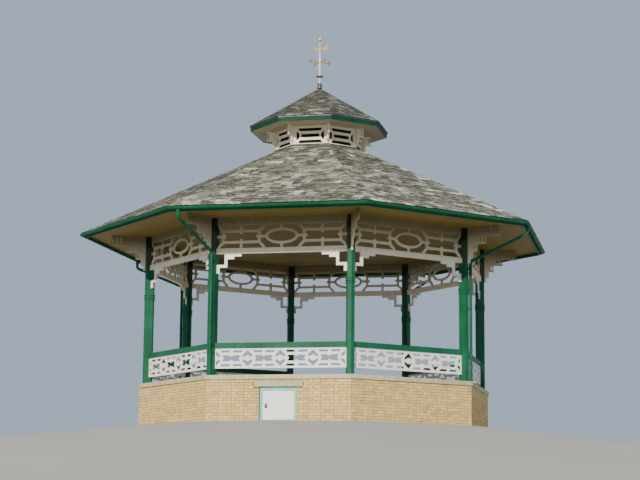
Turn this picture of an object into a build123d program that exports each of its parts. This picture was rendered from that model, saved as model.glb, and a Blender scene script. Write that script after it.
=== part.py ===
"""An octagonal bandstand: brick plinth, timber stage with fret panels, slated roof and lantern."""

import os
from math import atan2, cos, degrees, hypot, radians, sin, tan

from build123d import *

os.makedirs("parts", exist_ok=True)

# The octagon. Facet 0 faces -Y, and facets and posts are counted anticlockwise seen from above.
SIDES = 8
FACET_STEP = 360 / SIDES
HALF_STEP = FACET_STEP / 2
SLANT = tan(radians(HALF_STEP))
REAR_FACET = SIDES // 2

# Plinth
post_circle = 4780          # radius through the post centres
plinth_projection = 200     # from the bay line to the outer face of the brickwork
wall_thickness = 440        # two bricks
wall_height = 1080
coping_thickness = 120
coping_overhang = 40
coping_width = 370
mortar_joint = 2
seat_gap = 0.3              # between pieces that bear on each other across a slanted joint

# Hatch to the store under the deck
hatch_width = 990
hatch_height = 900
hatch_frame_width = 72
hatch_head_height = 105
hatch_frame_depth = 90
hatch_threshold = 50
hatch_reveal = 70           # from the brick face to the frame
hatch_door_thickness = 40
hatch_door_gap = 5
lintel_bearing = 150
pintle_radius = 6
pintle_offset = 14          # from the face of the door to the hinge axis
pintle_clearance = 0.05
hinge_eye_radius = 10
hinge_strap_length = 420
hinge_strap_thickness = 6
hinge_strap_height = 40
hinge_block_height = 30
hinge_block_near = 3        # from the hinge axis to the plate on the jamb
hinge_block_far = 48
hinge_play = 1              # between the door's eye and the block under it
hinge_inset = 110           # from the top or bottom of the door to its strap

# Steps at the back
step_count = 6
step_going = 262
step_joint = 0.5
step_width = 2400

# Posts
post_width = 190
post_side = 195
collar_height = 52
collar_pitch = 60
collar_projection = 16
collar_round = 14
collar_level = 1490         # lowest collar, above the handrail's top
collar_count = 3

# Handrail and fret panel
rail_top = 850              # above the deck
rail_height = 140
rail_thickness = 90
panel_height = 527
panel_thickness = 32
panel_modules = 4
panel_module = 866
panel_edge = 57             # outer rails of the panel
panel_bar_high = 148        # from the middle line to the edge holes
hole_near = 42              # from a module's centre to its edge holes
hole_far = 256
hole_slant = 52
bow_reach = 232
bow_half_height = 77
cusp_radius = 42
cusp_offset = 84
nub_radius = 44
nub_offset = 250
chevron_tip = 214
chevron_reach = 132
chevron_shoulder = 84
chevron_foot = 36
disc_radius = 78
end_stile = 24

# Tie beams and frieze
clear_height = 2332         # from the handrail's top to the beam
beam_height = 145
beam_thickness = 110
frieze_height = 618
frieze_thickness = 50
lath = 68                   # width of the frieze's bars
oval_half_width = 440
oval_half_height = 212
frame_inner = 602           # from the middle of the bay to the side frames
frame_outer = 1572
frame_half_height = 147
splay_in = 148
splay_out = 112
lug = 46

# Stepped brackets under the beams
bracket_thickness = 45
bracket_bar = 77
bracket_loop = 197
bracket_foot = 69
bracket_foot_top = 285
bracket_drop = 513
bracket_long = 655
bracket_long_drop = 70
bracket_short = 457
bracket_short_drop = 141

# Stepped brackets under the eaves: reach from the post, and level above the beam's underside
eave_bracket_thickness = 45
eave_tiers = [(62, 0), (135, 125), (280, 300), (551, 490), (966, 675)]
eave_bar = 62
slat_gap = 46
slat_pitch = 108

# Ceiling, fascia and gutter
ceiling_thickness = 25
ceiling_level = 955         # above the beam's underside
gutter_reach = 6259         # apothem of the gutter's outer lip
gutter_size = 140
gutter_wall = 6
gutter_lip = 8              # above the ceiling's underside
fascia_thickness = 32
fascia_drop = 100

# Downpipes
pipe_radius = 40
pipe_standoff = 20          # from the post to the pipe
pipe_set_out = 280          # from the gutter's corner, along the gutter
pipe_drop = 190
pipe_bend = 90
pipe_knee = 40              # above the beam's underside
socket_radius = 47
socket_height = 70

# Roof
roof_thickness = 55
roof_joint = 2
slate_edge = 15
lantern_apothem = 1184
lantern_base = 2618         # above the ceiling's underside, where the lantern's face meets the slates
eave_overhang = 60
eave_lift = 38

# Lantern
curb_height = 40            # above the slates at the lantern's face
curb_thickness = 110
curb_projection = 22
lantern_wall_thickness = 50
lantern_wall_height = 540
lantern_margin = 30         # under the lowest slot
lantern_slot_height = 88
lantern_slot_reach = 356    # half the long edge of the outer slots
lantern_slot_slant = 58
lantern_slot_rise = 348     # from the foot of the lowest slot to the foot of the highest
middle_slot_reach = 258
middle_slot_height = 98
crescent_near = 308
crescent_far = 400
crescent_height = 254
lantern_eave = 1855         # apothem of the lantern's fascia
lantern_soffit_thickness = 25
lantern_fascia_height = 98
lantern_fascia_thickness = 30
lantern_fascia_drop = 3
lantern_roof_thickness = 50
lantern_edge = 40           # depth of the roof's lower edge
lantern_rise = 1240         # from the top of the lantern's fascia to its apex
lantern_bracket_thickness = 40
lantern_tiers = [(90, 105), (245, 265)]

# Weathervane
cap_radius = 75
cap_top_radius = 60
cap_height = 190
cap_lift = 30               # above the roof's apex and crown, to the cap's foot
crown_radius = 37
pole_radius = 29
disc_level = 380            # above the apex
vane_disc_radius = 104
vane_disc_thickness = 24
arms_level = 825
arm_half_length = 360
arm_radius = 9
arm_boss_radius = 40
arm_boss_height = 50
arms_turn = 41
letter_height = 120
letter_width = 90
letter_thickness = 10
letter_stroke = 24
pole_height = 1150
spindle_radius = 10
spindle_clearance = 0.05
sleeve_radius = 17
sleeve_gap = 0.3
arrow_level = 1236
arrow_tip_reach = 192       # from the pole to the tip, and to the end of the tail
arrow_tail_reach = 245
arrow_bar = 50
arrow_head_length = 124
arrow_head_width = 96
arrow_thickness = 10
arrow_turn = 172
tail_length = 160
tail_height = 176
tail_notch = 14
spindle_height = 1440
finial_height = 212
finial_foot_radius = 15
finial_radius = 36
finial_bulb_level = 72
finial_neck_radius = 15
finial_neck_level = 150

# Levels and distances that follow from the sizes above
deck_level = wall_height + coping_thickness
rail_level = deck_level + rail_top
beam_level = rail_level + clear_height
soffit_level = beam_level + ceiling_level
bay_apothem = post_circle * cos(radians(HALF_STEP))
plinth_face = bay_apothem + plinth_projection
wall_inner = plinth_face - wall_thickness
coping_outer = plinth_face + coping_overhang
coping_inner = coping_outer - coping_width
bay_half = post_circle * sin(radians(HALF_STEP))
half_joint = mortar_joint / 2
half_roof_joint = roof_joint / 2
post_half = post_width / 2
bay_clear = bay_half - post_half / cos(radians(HALF_STEP))
prow = post_half * SLANT
fascia_face = gutter_reach - gutter_size
ceiling_reach = fascia_face - fascia_thickness
roof_foot = gutter_reach - eave_overhang
roof_foot_level = soffit_level + eave_lift
lantern_level = soffit_level + lantern_base
roof_slope = (lantern_level - roof_foot_level) / (roof_foot - lantern_apothem)
roof_depth = roof_thickness * hypot(1, roof_slope)
lantern_wall_level = lantern_level + curb_height
lantern_soffit_level = lantern_wall_level + lantern_wall_height
lantern_fascia_level = lantern_soffit_level - lantern_fascia_drop
lantern_foot_level = lantern_fascia_level + lantern_fascia_height
apex_level = lantern_foot_level + lantern_rise
vane_top = apex_level + spindle_height + finial_height


def outward(angle, radius, height=0):
    """The point at this bearing from the front, distance from the axis and height."""
    return (radius * sin(radians(angle)), -radius * cos(radians(angle)), height)


def face_plane(angle, distance=0, height=0):
    """An upright plane that faces outward at this bearing, with its x to the right."""
    turn = radians(angle)
    return Plane(
        origin=outward(angle, distance, height),
        x_dir=(cos(turn), sin(turn), 0),
        z_dir=(sin(turn), -cos(turn), 0),
    )


def section_plane(angle):
    """An upright plane through the axis, with its x pointing outward at this bearing."""
    turn = radians(angle)
    return Plane(origin=(0, 0, 0), x_dir=(sin(turn), -cos(turn), 0), z_dir=(-cos(turn), -sin(turn), 0))


def floor_plane(angle, distance=0, height=0):
    """A level plane at this bearing, with its x to the right and its y pointing inward."""
    turn = radians(angle)
    return Plane(origin=outward(angle, distance, height), x_dir=(cos(turn), sin(turn), 0), z_dir=(0, 0, 1))


def front_bar(inner, outer, low, high, joint):
    """A mitred bar along the front of the octagon, half a joint short of each mitre."""
    with BuildPart() as bar:
        with BuildSketch(Plane.XY.offset(low)):
            Polygon(
                (-outer * SLANT + joint, -outer),
                (outer * SLANT - joint, -outer),
                (inner * SLANT - joint, -inner),
                (-inner * SLANT + joint, -inner),
                align=None,
            )
        extrude(amount=high - low)
    return bar.part


def front_run(section, reach, low, high, joint):
    """A radial section drawn out along the front of the octagon and mitred at both ends."""
    with BuildPart() as run:
        with BuildSketch(section_plane(0)):
            add(section)
        extrude(amount=reach * SLANT, both=True)
        with BuildSketch(Plane.XY.offset(low)):
            Polygon(
                (0, -joint / SLANT),
                (reach * SLANT, -reach - joint / SLANT),
                (-reach * SLANT, -reach - joint / SLANT),
                align=None,
            )
        extrude(amount=high - low, mode=Mode.INTERSECT)
    return run.part


def front_board(distance, outline, thickness, half_width):
    """A flat shape on the front of the octagon, with its ends cut to the half angle of a side."""
    slack = thickness * SLANT
    with BuildPart() as board:
        with BuildSketch(face_plane(0, distance)):
            add(outline)
        extrude(amount=thickness / 2, both=True)
        with BuildSketch(Plane.XY):
            Polygon(
                (-half_width - slack, -distance - thickness),
                (half_width + slack, -distance - thickness),
                (half_width - slack, -distance + thickness),
                (-half_width + slack, -distance + thickness),
                align=None,
            )
        extrude(amount=vane_top, mode=Mode.INTERSECT)
    return board.part


def around(piece, sides=range(SIDES)):
    """Copies of a piece of the front, turned to the given sides of the octagon."""
    with BuildPart() as ring:
        for side in sides:
            add(piece, rotation=(0, 0, side * FACET_STEP))
    return ring.part


def block(x_low, y_low, x_high, y_high, mode=Mode.ADD):
    """A rectangle given by its corners."""
    with Locations(((x_low + x_high) / 2, (y_low + y_high) / 2)):
        Rectangle(abs(x_high - x_low), abs(y_high - y_low), mode=mode)


def lath_bar(start, end, width):
    """A straight bar between two points."""
    run = end[0] - start[0]
    rise = end[1] - start[1]
    with Locations(((start[0] + end[0]) / 2, (start[1] + end[1]) / 2)):
        Rectangle(hypot(run, rise), width, rotation=degrees(atan2(rise, run)))


def stepped_fret(tiers, top, bar, root):
    """A stepped bracket of slats, wider towards the top, with its back at root."""
    levels = [level for reach, level in tiers] + [top]
    with BuildSketch() as fret:
        for reach, level in tiers:
            block(root, level, root + reach, top)
        inside = 0
        for tier, (reach, level) in enumerate(tiers):
            low = level + bar
            high = levels[tier + 1] - (bar / 2 if tier + 2 < len(levels) else bar)
            slats = int((reach - inside - bar / 2) // slat_pitch)
            for slat in range(slats):
                near = root + reach - bar / 2 - slat_gap - slat * slat_pitch
                if high - low > slat_gap:
                    block(near, low, near + slat_gap, high, mode=Mode.SUBTRACT)
            inside = reach
    return fret.sketch


def save(builder, name):
    """Label a finished piece and write it."""
    builder.part.label = name
    export_step(builder.part, f"parts/{name}.step")


# Plinth: seven plain facets, and the front facet in two piers and a lintel
front_wall = front_bar(wall_inner, plinth_face, 0, wall_height, half_joint)
with BuildPart() as plinth_walls:
    add(around(front_wall, range(1, SIDES)))
save(plinth_walls, "plinth_walls")

hatch_half = hatch_width / 2
lintel_end = hatch_half + lintel_bearing
for name, side in (("front_wall_left", -1), ("front_wall_right", 1)):
    with BuildPart() as pier:
        add(front_wall)
        with BuildSketch(Plane.XY):
            block(-side * plinth_face, -plinth_face, side * hatch_half, 0)
        extrude(amount=wall_height, mode=Mode.SUBTRACT)
        with BuildSketch(Plane.XY.offset(hatch_height)):
            block(side * hatch_half, -plinth_face, side * lintel_end, 0)
        extrude(amount=wall_height - hatch_height, mode=Mode.SUBTRACT)
    save(pier, name)

with BuildPart() as front_lintel:
    with BuildSketch(Plane.XY.offset(hatch_height)):
        block(-lintel_end + mortar_joint, -plinth_face, lintel_end - mortar_joint, -wall_inner)
    extrude(amount=wall_height - hatch_height)
save(front_lintel, "front_lintel")

with BuildPart() as plinth_coping:
    add(around(front_bar(coping_inner, coping_outer, wall_height, deck_level, half_joint)))
save(plinth_coping, "plinth_coping")

with BuildPart() as deck:
    with BuildSketch(Plane.XY.offset(wall_height)):
        RegularPolygon(coping_inner - seat_gap, SIDES, major_radius=False, rotation=HALF_STEP)
    extrude(amount=coping_thickness)
save(deck, "deck")

# Hatch frame: two jambs, a head and a threshold, with a pintle for each of the door's straps
frame_face = plinth_face - hatch_reveal
hinge_x = hatch_half - hatch_frame_width - hatch_door_gap / 2
hinge_y = -frame_face - pintle_offset
door_low = hatch_threshold + hatch_door_gap
door_high = hatch_height - hatch_head_height - hatch_door_gap
strap_levels = [door_low + hinge_inset, door_high - hinge_inset - hinge_strap_height]
with BuildPart() as hatch_frame:
    with BuildSketch(face_plane(0, frame_face)):
        block(-hatch_half + seat_gap, 0, hatch_half - seat_gap, hatch_height - seat_gap)
        block(
            -hatch_half + hatch_frame_width,
            hatch_threshold,
            hatch_half - hatch_frame_width,
            hatch_height - hatch_head_height,
            mode=Mode.SUBTRACT,
        )
    extrude(amount=-hatch_frame_depth)
    for level in strap_levels:
        with BuildSketch(Plane.XY.offset(level - hinge_play - hinge_block_height)):
            with Locations((hinge_x, hinge_y)):
                Circle(hinge_eye_radius)
            block(hinge_x, hinge_y - hinge_eye_radius, hinge_x + hinge_block_far, hinge_y)
            block(hinge_x + hinge_block_near, hinge_y, hinge_x + hinge_block_far, -frame_face)
        extrude(amount=hinge_block_height)
        with BuildSketch(Plane.XY.offset(level - hinge_play - hinge_block_height / 2)):
            with Locations((hinge_x, hinge_y)):
                Circle(pintle_radius)
        extrude(amount=hinge_block_height / 2 + hinge_play + hinge_strap_height)
save(hatch_frame, "hatch_frame")

with BuildPart() as hatch_door:
    door_half = hatch_half - hatch_frame_width - hatch_door_gap
    with BuildSketch(face_plane(0, frame_face)):
        block(-door_half, door_low, door_half, door_high)
    extrude(amount=-hatch_door_thickness)
    for level in strap_levels:
        with BuildSketch(Plane.XY.offset(level)):
            with Locations((hinge_x, hinge_y)):
                Circle(hinge_eye_radius)
            block(hinge_x - hinge_eye_radius, hinge_y, door_half, -frame_face)
            strap_face = -frame_face - hinge_strap_thickness
            block(hinge_x - hinge_strap_length, strap_face, door_half, -frame_face)
            with Locations((hinge_x, hinge_y)):
                Circle(pintle_radius + pintle_clearance, mode=Mode.SUBTRACT)
        extrude(amount=hinge_strap_height)
save(hatch_door, "hatch_door")

# Entrance steps: stone blocks from the ground up, side by side
step_rise = deck_level / (step_count + 1)
with BuildPart() as entrance_steps:
    for step in range(step_count):
        near = plinth_face + step_joint + step * step_going
        with BuildSketch(floor_plane(REAR_FACET * FACET_STEP, near)):
            block(-step_width / 2, step_joint - step_going, step_width / 2, 0)
        extrude(amount=step_rise * (step_count - step))
save(entrance_steps, "entrance_steps")

# Posts: an elongated hexagon with a prow outside and inside, parallel to the bays beside it
post_outline = [
    (0, -post_side / 2 - prow),
    (post_half, -post_side / 2),
    (post_half, post_side / 2),
    (0, post_side / 2 + prow),
    (-post_half, post_side / 2),
    (-post_half, -post_side / 2),
]
with BuildPart() as collar:
    with BuildSketch(floor_plane(-HALF_STEP, post_circle, rail_level + collar_level)):
        Polygon(*post_outline, align=None)
        offset(amount=collar_projection, kind=Kind.INTERSECTION)
    extrude(amount=collar_height)
    fillet(collar.edges().filter_by(Axis.Z, reverse=True), collar_round)
with BuildPart() as front_post:
    with BuildSketch(floor_plane(-HALF_STEP, post_circle, deck_level)):
        Polygon(*post_outline, align=None)
    extrude(amount=soffit_level - deck_level)
    for ring in range(collar_count):
        with Locations((0, 0, ring * collar_pitch)):
            add(collar.part)
for number in range(SIDES):
    with BuildPart() as post:
        add(front_post.part, rotation=(0, 0, number * FACET_STEP))
    save(post, f"post_{number + 1}")

# Handrails in every bay but the entrance
with BuildSketch() as rail_outline:
    block(-bay_half, rail_level - rail_height, bay_half, rail_level)
closed_bays = [facet for facet in range(SIDES) if facet != REAR_FACET]
bay_reach = bay_clear - seat_gap
with BuildPart() as handrails:
    add(around(front_board(bay_apothem, rail_outline.sketch, rail_thickness, bay_reach), closed_bays))
save(handrails, "handrails")

# Fret panels: rows of slots and bow-tie holes between diamonds
with BuildSketch() as bow_tie:
    Rectangle(2 * bow_reach, 2 * bow_half_height)
    with Locations((0, cusp_offset), (0, -cusp_offset)):
        Circle(cusp_radius, mode=Mode.SUBTRACT)
    with Locations((nub_offset, 0), (-nub_offset, 0)):
        Circle(nub_radius, mode=Mode.SUBTRACT)
with BuildSketch() as edge_hole:
    Polygon(
        (hole_near, panel_bar_high),
        (hole_far, panel_bar_high),
        (hole_far + hole_slant, panel_height / 2 - panel_edge),
        (hole_near, panel_height / 2 - panel_edge),
        align=None,
    )
    mirror(about=Plane.YZ)
    mirror(about=Plane.XZ)
with BuildSketch() as chevron:
    Polygon(
        (-chevron_reach, chevron_foot),
        (chevron_reach, chevron_foot),
        (chevron_reach, chevron_shoulder),
        (0, chevron_tip),
        (-chevron_reach, chevron_shoulder),
        align=None,
    )
    mirror(about=Plane.XZ)
    Circle(disc_radius, mode=Mode.SUBTRACT)
panel_half = panel_modules * panel_module / 2
panel_middle = rail_level - rail_height - panel_height / 2
with BuildSketch() as panel_outline:
    with Locations((0, panel_middle)):
        Rectangle(2 * bay_half, panel_height)
    for module in range(panel_modules):
        with Locations(((module + 0.5) * panel_module - panel_half, panel_middle)):
            add(bow_tie.sketch, mode=Mode.SUBTRACT)
            add(edge_hole.sketch, mode=Mode.SUBTRACT)
    for boundary in range(panel_modules + 1):
        with Locations((boundary * panel_module - panel_half, panel_middle)):
            add(chevron.sketch, mode=Mode.SUBTRACT)
    for side in (-1, 1):
        with Locations((side * bay_half, panel_middle)):
            Rectangle(2 * (bay_half - panel_half + end_stile), panel_height)
front_panel = front_board(bay_apothem, panel_outline.sketch, panel_thickness, bay_reach)
for number, facet in enumerate(closed_bays):
    with BuildPart() as rail_panel:
        add(front_panel, rotation=(0, 0, facet * FACET_STEP))
    save(rail_panel, f"rail_panel_{number + 1}")

# Tie beams between the posts
with BuildSketch() as beam_outline:
    block(-bay_half, beam_level, bay_half, beam_level + beam_height)
with BuildPart() as tie_beams:
    add(around(front_board(bay_apothem, beam_outline.sketch, beam_thickness, bay_reach)))
save(tie_beams, "tie_beams")

# Frieze: an oval between two side frames, tied to the beam and to the rail under the ceiling
frieze_half = frieze_height / 2
frieze_middle = beam_level + beam_height + frieze_half
frame_middle = (frame_inner + frame_outer) / 2
half_lath = lath / 2
with BuildSketch() as frieze_outline:
    Ellipse(oval_half_width, oval_half_height)
    Ellipse(oval_half_width - lath, oval_half_height - lath, mode=Mode.SUBTRACT)
    for side in (-1, 1):
        tie_start = side * (oval_half_width - half_lath)
        lath_bar((tie_start, 0), (side * (frame_inner + lug + half_lath), 0), lath)
        lath_bar((side * (frame_outer - lug - half_lath), 0), (side * bay_half, 0), lath)
        for upright in (frame_inner, frame_outer):
            lath_bar((side * upright, -frame_half_height), (side * upright, frame_half_height), lath)
        for rise in (-1, 1):
            bar_level = rise * frame_half_height
            end_level = rise * frieze_half
            frame_ends = (side * (frame_inner - half_lath), side * (frame_outer + half_lath))
            lath_bar((frame_ends[0], bar_level), (frame_ends[1], bar_level), lath)
            stub_x = side * frame_middle
            lath_bar((stub_x, bar_level - rise * (lug + half_lath)), (stub_x, end_level), lath)
            inner_foot = side * (frame_inner - splay_in)
            lath_bar((side * frame_inner, bar_level), (inner_foot, end_level), lath)
            outer_foot = side * (frame_outer + splay_out)
            elbow = bar_level + rise * splay_out
            lath_bar((side * frame_outer, bar_level), (outer_foot, elbow), lath)
            lath_bar((outer_foot, elbow - rise * half_lath / 2), (outer_foot, end_level), lath)
    for rise in (-1, 1):
        lath_bar((0, rise * (oval_half_height - half_lath)), (0, rise * frieze_half), lath)
    block(-bay_half, -frieze_half - lath, bay_half, -frieze_half, mode=Mode.SUBTRACT)
    block(-bay_half, frieze_half, bay_half, ceiling_level - beam_height - frieze_half)
with BuildSketch() as raised_frieze:
    with Locations((0, frieze_middle)):
        add(frieze_outline.sketch)
front_frieze = front_board(bay_apothem, raised_frieze.sketch, frieze_thickness, bay_reach)
for facet in range(SIDES):
    with BuildPart() as frieze:
        add(front_frieze, rotation=(0, 0, facet * FACET_STEP))
    save(frieze, f"frieze_{facet + 1}")

# Stepped brackets under the ends of each beam
with BuildSketch() as bracket_pair:
    for side in (-1, 1):
        face = side * bay_clear
        beyond = side * bay_half
        foot = face - side * bracket_foot
        loop = face - side * bracket_loop
        stem = loop - side * bracket_bar
        block(beyond, beam_level - bracket_drop, foot, beam_level - bracket_foot_top)
        block(beyond, beam_level - bracket_foot_top - bracket_bar, stem, beam_level - bracket_foot_top)
        block(loop, beam_level - bracket_foot_top - bracket_bar, stem, beam_level)
        block(loop, beam_level - bracket_long_drop, face - side * bracket_long, beam_level)
        block(loop, beam_level - bracket_short_drop, face - side * bracket_short, beam_level)
with BuildPart() as beam_brackets:
    add(around(front_board(bay_apothem, bracket_pair.sketch, bracket_thickness, bay_reach)))
save(beam_brackets, "beam_brackets")

# Stepped brackets that carry the eaves, one outside each post
post_outside = post_circle + post_side / 2 + prow + seat_gap
eave_fret = stepped_fret(eave_tiers, ceiling_level, eave_bar, post_outside)
with BuildSketch() as raised_fret:
    with Locations((0, beam_level)):
        add(eave_fret)
with BuildPart() as front_eave_bracket:
    with BuildSketch(section_plane(-HALF_STEP)):
        add(raised_fret.sketch)
    extrude(amount=eave_bracket_thickness / 2, both=True)
with BuildPart() as eave_brackets:
    add(around(front_eave_bracket.part))
save(eave_brackets, "eave_brackets")

# Boarded ceiling that runs on as the soffit of the eaves
with BuildPart() as ceiling:
    with BuildSketch(Plane.XY.offset(soffit_level)):
        RegularPolygon(ceiling_reach - seat_gap, SIDES, major_radius=False, rotation=HALF_STEP)
    extrude(amount=ceiling_thickness)
save(ceiling, "ceiling")

# Fascia, up to the underside of the roof
fascia_top = roof_foot_level + (roof_foot - fascia_face) * roof_slope - roof_depth - seat_gap
with BuildPart() as fascia:
    add(around(front_bar(ceiling_reach, fascia_face, soffit_level - fascia_drop, fascia_top, half_joint)))
save(fascia, "fascia")

# Half-round gutters, mitred at the corners
gutter_radius = gutter_size / 2
gutter_middle = gutter_reach - gutter_radius
gutter_level = soffit_level + gutter_lip
with BuildSketch() as gutter_section:
    with Locations((gutter_middle, gutter_level)):
        Circle(gutter_radius - seat_gap)
        Circle(gutter_radius - gutter_wall, mode=Mode.SUBTRACT)
    block(fascia_face, gutter_level, gutter_reach, gutter_level + gutter_size, mode=Mode.SUBTRACT)
gutter_foot = gutter_level - gutter_radius
with BuildPart() as gutters:
    add(around(front_run(gutter_section.sketch, gutter_reach, gutter_foot, gutter_level, half_joint)))
save(gutters, "gutters")

# Downpipes on every other post: an offset under the eaves, then a straight pipe down the post's right face
pipe_foot = []
for number in range(0, SIDES, 2):
    bearing = number * FACET_STEP - HALF_STEP
    away = pipe_radius + pipe_standoff
    aside = post_half / 2 + away * sin(radians(HALF_STEP))
    beyond = -post_side / 2 - prow / 2 - away * cos(radians(HALF_STEP))
    pipe_foot.append(floor_plane(bearing, post_circle).from_local_coords(Vector(aside, beyond, 0)))
with BuildPart() as downpipes:
    for foot in pipe_foot:
        with BuildSketch(Plane(origin=(foot.X, foot.Y, deck_level))):
            Circle(pipe_radius)
        extrude(amount=beam_level - pipe_bend - deck_level)
        for level in (deck_level, rail_level - socket_height, beam_level - pipe_bend - socket_height):
            with BuildSketch(Plane(origin=(foot.X, foot.Y, level))):
                Circle(socket_radius)
            extrude(amount=socket_height)
save(downpipes, "downpipes")

with BuildPart() as rainwater_offsets:
    for number, foot in zip(range(0, SIDES, 2), pipe_foot):
        along = pipe_set_out - gutter_middle * SLANT
        outlet = face_plane(number * FACET_STEP, gutter_middle).from_local_coords(Vector(along, 0, 0))
        outlet_level = gutter_foot - seat_gap
        with BuildLine() as route:
            FilletPolyline(
                (outlet.X, outlet.Y, outlet_level),
                (outlet.X, outlet.Y, outlet_level - pipe_drop),
                (foot.X, foot.Y, beam_level + pipe_knee),
                (foot.X, foot.Y, beam_level - pipe_bend + seat_gap),
                radius=pipe_bend,
            )
        with BuildSketch(Plane(origin=(outlet.X, outlet.Y, outlet_level), z_dir=(0, 0, -1))):
            Circle(pipe_radius)
        sweep(path=route.wires()[0])
save(rainwater_offsets, "rainwater_offsets")

# Roof slopes, mitred at the hips, from over the gutter to the foot of the lantern
slope_inner = lantern_apothem - curb_thickness
slope_under = roof_foot_level + (roof_foot - fascia_face) * roof_slope - roof_depth
slope_top = roof_foot_level + (roof_foot - slope_inner) * roof_slope
with BuildSketch() as slope_section:
    Polygon(
        (roof_foot, roof_foot_level),
        (slope_inner, slope_top),
        (slope_inner, slope_top - roof_depth),
        (fascia_face, slope_under),
        (roof_foot, roof_foot_level - slate_edge),
        align=None,
    )
with BuildPart() as roof_slopes:
    add(around(front_run(slope_section.sketch, roof_foot, soffit_level, slope_top, half_roof_joint)))
save(roof_slopes, "roof_slopes")

# Lantern: a curb on the slates, eight pierced panels, a boarded soffit, a fascia and its own roof
curb_outer = lantern_apothem + curb_projection
curb_inner = lantern_apothem - curb_thickness
curb_foot = slope_top + seat_gap
curb_outer_foot = slope_top - (curb_outer - slope_inner) * roof_slope + seat_gap
with BuildSketch() as curb_section:
    Polygon(
        (curb_inner, curb_foot),
        (curb_outer, curb_outer_foot),
        (curb_outer, lantern_wall_level),
        (curb_inner, lantern_wall_level),
        align=None,
    )
with BuildPart() as lantern_curb:
    add(around(front_run(curb_section.sketch, curb_outer, curb_outer_foot, lantern_wall_level, half_joint)))
save(lantern_curb, "lantern_curb")

wall_half = lantern_apothem * SLANT
slots_half = (lantern_slot_rise + lantern_slot_height) / 2
with BuildSketch() as slot_pattern:
    Polygon(
        (-lantern_slot_reach, slots_half),
        (lantern_slot_reach, slots_half),
        (lantern_slot_reach - lantern_slot_slant, slots_half - lantern_slot_height),
        (-lantern_slot_reach + lantern_slot_slant, slots_half - lantern_slot_height),
        align=None,
    )
    mirror(about=Plane.XZ)
    Rectangle(2 * middle_slot_reach, middle_slot_height)
    with BuildLine():
        Line((crescent_far, -crescent_height / 2), (crescent_far, crescent_height / 2))
        ThreePointArc(
            (crescent_far, crescent_height / 2),
            (crescent_near, 0),
            (crescent_far, -crescent_height / 2),
        )
    make_face()
    mirror(about=Plane.YZ)
with BuildSketch() as lantern_outline:
    block(-wall_half, lantern_wall_level, wall_half, lantern_soffit_level)
    with Locations((0, lantern_wall_level + lantern_margin + slots_half)):
        add(slot_pattern.sketch, mode=Mode.SUBTRACT)
wall_middle = lantern_apothem - lantern_wall_thickness / 2
wall_reach = wall_middle * SLANT - half_joint
with BuildPart() as lantern_walls:
    add(around(front_board(wall_middle, lantern_outline.sketch, lantern_wall_thickness, wall_reach)))
save(lantern_walls, "lantern_walls")

lantern_corner = lantern_apothem / cos(radians(HALF_STEP)) + seat_gap
lantern_fret = stepped_fret(lantern_tiers, lantern_wall_height, lantern_bracket_thickness, lantern_corner)
with BuildSketch() as raised_lantern_fret:
    with Locations((0, lantern_wall_level)):
        add(lantern_fret)
with BuildPart() as front_lantern_bracket:
    with BuildSketch(section_plane(-HALF_STEP)):
        add(raised_lantern_fret.sketch)
    extrude(amount=lantern_bracket_thickness / 2, both=True)
with BuildPart() as lantern_brackets:
    add(around(front_lantern_bracket.part))
save(lantern_brackets, "lantern_brackets")

lantern_soffit_reach = lantern_eave - lantern_fascia_thickness
with BuildPart() as lantern_soffit:
    with BuildSketch(Plane.XY.offset(lantern_soffit_level)):
        RegularPolygon(lantern_soffit_reach - seat_gap, SIDES, major_radius=False, rotation=HALF_STEP)
    extrude(amount=lantern_soffit_thickness)
save(lantern_soffit, "lantern_soffit")

front_fascia = front_bar(
    lantern_soffit_reach,
    lantern_eave,
    lantern_fascia_level,
    lantern_foot_level,
    half_joint,
)
with BuildPart() as lantern_fascia:
    add(around(front_fascia))
save(lantern_fascia, "lantern_fascia")

lantern_slope = lantern_rise / lantern_eave
lantern_depth = lantern_roof_thickness * hypot(1, lantern_slope)
lantern_foot = lantern_eave + slate_edge
crown_level = apex_level - crown_radius * lantern_slope
with BuildSketch() as lantern_section:
    Polygon(
        (lantern_foot, lantern_foot_level + lantern_edge),
        (crown_radius, crown_level + cap_lift),
        (crown_radius, crown_level - lantern_depth),
        (lantern_soffit_reach - lantern_depth / lantern_slope, lantern_foot_level + seat_gap),
        (lantern_foot, lantern_foot_level + seat_gap),
        align=None,
    )
with BuildPart() as lantern_roof:
    crown = apex_level + cap_height
    add(around(front_run(lantern_section.sketch, lantern_foot, lantern_foot_level, crown, half_roof_joint)))
save(lantern_roof, "lantern_roof")

# Weathervane: a lead cap, a pole with a disc, fixed compass arms and an arrow that turns
with BuildPart() as vane_cap:
    with BuildSketch(Plane.XZ):
        block(0, crown_level, crown_radius - seat_gap, apex_level + cap_height)
        Polygon(
            (crown_radius - seat_gap, apex_level + cap_lift),
            (cap_radius, apex_level + cap_lift),
            (cap_top_radius, apex_level + cap_height - slate_edge),
            (crown_radius - seat_gap, apex_level + cap_height),
            align=None,
        )
    revolve(axis=Axis.Z)
save(vane_cap, "vane_cap")

pole_foot = apex_level + cap_height
pole_top = apex_level + pole_height
spindle_top = apex_level + spindle_height
with BuildPart() as vane_pole:
    with BuildSketch(Plane.XY.offset(pole_foot)):
        Circle(pole_radius)
    extrude(amount=pole_top - pole_foot)
    with BuildSketch(Plane.XY.offset(apex_level + disc_level)):
        Circle(vane_disc_radius)
    extrude(amount=vane_disc_thickness)
    fillet(vane_pole.edges().filter_by(GeomType.CIRCLE).sort_by(SortBy.RADIUS)[-2:], vane_disc_thickness / 3)
    with BuildSketch(Plane.XY.offset(pole_top)):
        Circle(spindle_radius)
    extrude(amount=spindle_top - pole_top)
save(vane_pole, "vane_pole")

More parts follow.
